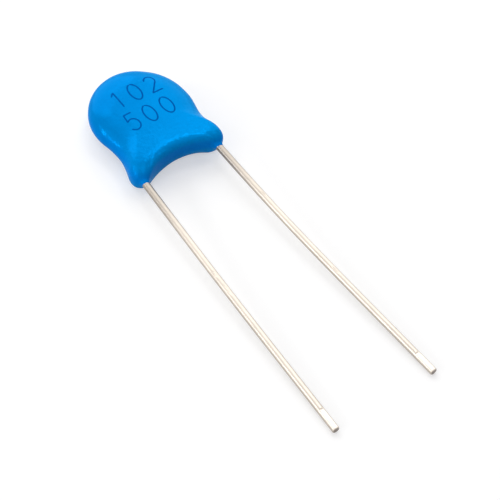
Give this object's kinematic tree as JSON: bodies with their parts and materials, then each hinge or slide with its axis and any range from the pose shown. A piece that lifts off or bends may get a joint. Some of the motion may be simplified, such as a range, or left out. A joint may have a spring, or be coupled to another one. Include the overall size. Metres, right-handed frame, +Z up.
{
  "type": "ceramic disc capacitor",
  "caption": "High-voltage ceramic disc capacitor: a blue dipped epoxy body with two legs and an arch, and straight tinned radial wires, lying on its back.",
  "frame": {"origin": "middle of the rectangle that the part covers, on the surface that it lies on", "axes": "+Z up through the front face, +Y from the wires' ends towards the body, +X to the right"},
  "size_m": [0.0104, 0.0388, 0.0033],
  "materials": {
    "epoxy": "dipped blue epoxy, satin gloss",
    "ceramic": "fired, matt",
    "silver": "fired silver, matt",
    "tinned_wire": "tinned wire, drawn",
    "solder": "solder, smooth"
  },
  "bodies": {
    "root": {"coating": "epoxy", "ceramic_disc": "ceramic", "front_film": "silver", "back_film": "silver", "left_lead": "tinned_wire", "right_lead": "tinned_wire", "front_solder": "solder", "back_solder": "solder"}
  },
  "joints": []
}
